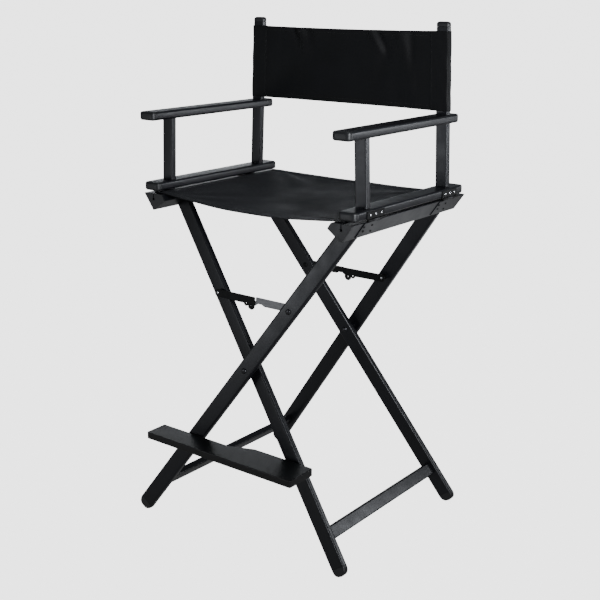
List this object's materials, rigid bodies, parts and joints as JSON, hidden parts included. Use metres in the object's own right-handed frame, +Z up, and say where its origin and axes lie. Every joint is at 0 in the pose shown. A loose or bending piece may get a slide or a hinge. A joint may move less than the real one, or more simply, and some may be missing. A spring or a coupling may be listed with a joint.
{
  "type": "folding director chair",
  "caption": "Counter-height folding director chair: scissor legs on seat rails, hinged upright arms with canvas back, canvas seat, locking braces and a swing-up footrest",
  "frame": {"origin": "middle of the footprint on the floor", "axes": "+X to the right as seen from the front, -Y the front the sitter faces, +Z up"},
  "size_m": [0.6004, 0.5676, 1.16],
  "materials": {
    "black_powder_coat": "satin black powder coat on aluminium extrusion",
    "black_plastic": "moulded black plastic, slight gloss",
    "black_steel": "black painted steel stamping",
    "grey_steel": "grey zinc-plated steel",
    "footrest_board": "matte black board",
    "black_canvas": "plain-woven black canvas"
  },
  "bodies": {
    "right_arm": {"armrest_right": "black_powder_coat", "armrest_cap_front_right": "black_plastic", "armrest_cap_rear_right": "black_plastic", "lower_rail_right": "black_powder_coat", "lower_rail_cap_front_right": "black_plastic", "lower_rail_cap_rear_right": "black_plastic", "front_post_right": "black_powder_coat", "rear_post_right": "black_powder_coat", "post_cap_right": "black_plastic", "hinge_upper_leaf_front_right": "black_steel", "hinge_upper_leaf_rear_right": "black_steel", "hinge_pin_front_right": "black_steel", "hinge_pin_rear_right": "black_steel", "back_canvas": "black_canvas"},
    "left_arm": {"armrest_left": "black_powder_coat", "armrest_cap_front_left": "black_plastic", "armrest_cap_rear_left": "black_plastic", "lower_rail_left": "black_powder_coat", "lower_rail_cap_front_left": "black_plastic", "lower_rail_cap_rear_left": "black_plastic", "front_post_left": "black_powder_coat", "rear_post_left": "black_powder_coat", "post_cap_left": "black_plastic", "hinge_upper_leaf_front_left": "black_steel", "hinge_upper_leaf_rear_left": "black_steel", "hinge_pin_front_left": "black_steel", "hinge_pin_rear_left": "black_steel"},
    "frame_a": {"seat_rail_right": "black_powder_coat", "seat_rail_cap_front_right": "black_plastic", "seat_rail_cap_rear_right": "black_plastic", "seat_edge_cord_right": "black_plastic", "hinge_lower_leaf_front_right": "black_steel", "hinge_lower_leaf_rear_right": "black_steel", "leg_front_a": "black_powder_coat", "leg_rear_a": "black_powder_coat", "foot_plug_front_a": "black_plastic", "foot_plug_rear_a": "black_plastic", "crossbar_a": "black_powder_coat", "scissor_bolt_front": "grey_steel", "scissor_bolt_rear": "grey_steel", "scissor_spacer_front": "black_plastic", "scissor_spacer_rear": "black_plastic", "seat_canvas": "black_canvas"},
    "frame_b": {"seat_rail_left": "black_powder_coat", "seat_rail_cap_front_left": "black_plastic", "seat_rail_cap_rear_left": "black_plastic", "seat_edge_cord_left": "black_plastic", "hinge_lower_leaf_front_left": "black_steel", "hinge_lower_leaf_rear_left": "black_steel", "leg_front_b": "black_powder_coat", "leg_rear_b": "black_powder_coat", "foot_plug_front_b": "black_plastic", "foot_plug_rear_b": "black_plastic", "crossbar_b": "black_powder_coat"},
    "footrest": {"footrest_board": "footrest_board", "footrest_pivot_pin": "black_steel"},
    "link_front_left": {"brace_link_front_left": "black_steel"},
    "link_front_right": {"brace_link_front_right": "grey_steel"},
    "link_rear_left": {"brace_link_rear_left": "black_steel"},
    "link_rear_right": {"brace_link_rear_right": "black_steel"}
  },
  "joints": [
    {"name": "fold", "type": "hinge", "parent": "right_arm", "child": "frame_a", "pos_m": [0.2974, 0.0172, 0.781], "axis": [0, -1, 0], "range_deg": [0, 28.5], "deforming": ["seat_canvas", "back_canvas"]},
    {"name": "scissor", "type": "hinge", "parent": "frame_a", "child": "frame_b", "pos_m": [0, 0.0172, 0.4068], "axis": [0, -1, 0], "range_deg": [-57, 0]},
    {"name": "left_arm_hinge", "type": "hinge", "parent": "frame_b", "child": "left_arm", "pos_m": [-0.2974, 0.0172, 0.781], "axis": [0, -1, 0], "range_deg": [0, 28.5]},
    {"name": "brace_front_left", "type": "hinge", "parent": "frame_b", "child": "link_front_left", "pos_m": [-0.11007, -0.15791, 0.56044], "axis": [0, -1, 0], "range_deg": [0, 143.9]},
    {"name": "brace_front_right", "type": "hinge", "parent": "frame_a", "child": "link_front_right", "pos_m": [0.11007, -0.15541, 0.56044], "axis": [0, -1, 0], "range_deg": [-85.27, 0]},
    {"name": "brace_rear_right", "type": "hinge", "parent": "frame_a", "child": "link_rear_right", "pos_m": [0.11007, 0.18321, 0.56044], "axis": [0, -1, 0], "range_deg": [-143.9, 0]},
    {"name": "brace_rear_left", "type": "hinge", "parent": "frame_b", "child": "link_rear_left", "pos_m": [-0.11007, 0.18871, 0.56044], "axis": [0, -1, 0], "range_deg": [0, 85.27]},
    {"name": "footrest_hinge", "type": "hinge", "parent": "frame_b", "child": "footrest", "pos_m": [0.13383, -0.21, 0.22], "axis": [0, -1, 0], "range_deg": [-54.15, 0]}
  ],
  "couplings": [
    {"joint": "scissor", "follows": "fold", "ratio": -2},
    {"joint": "left_arm_hinge", "follows": "fold", "ratio": 1},
    {"joint": "brace_front_left", "follows": "fold", "ratio": 5.049},
    {"joint": "brace_front_right", "follows": "fold", "ratio": -2.992},
    {"joint": "brace_rear_right", "follows": "fold", "ratio": -5.049},
    {"joint": "brace_rear_left", "follows": "fold", "ratio": 2.992},
    {"joint": "footrest_hinge", "follows": "fold", "ratio": -1.9}
  ]
}
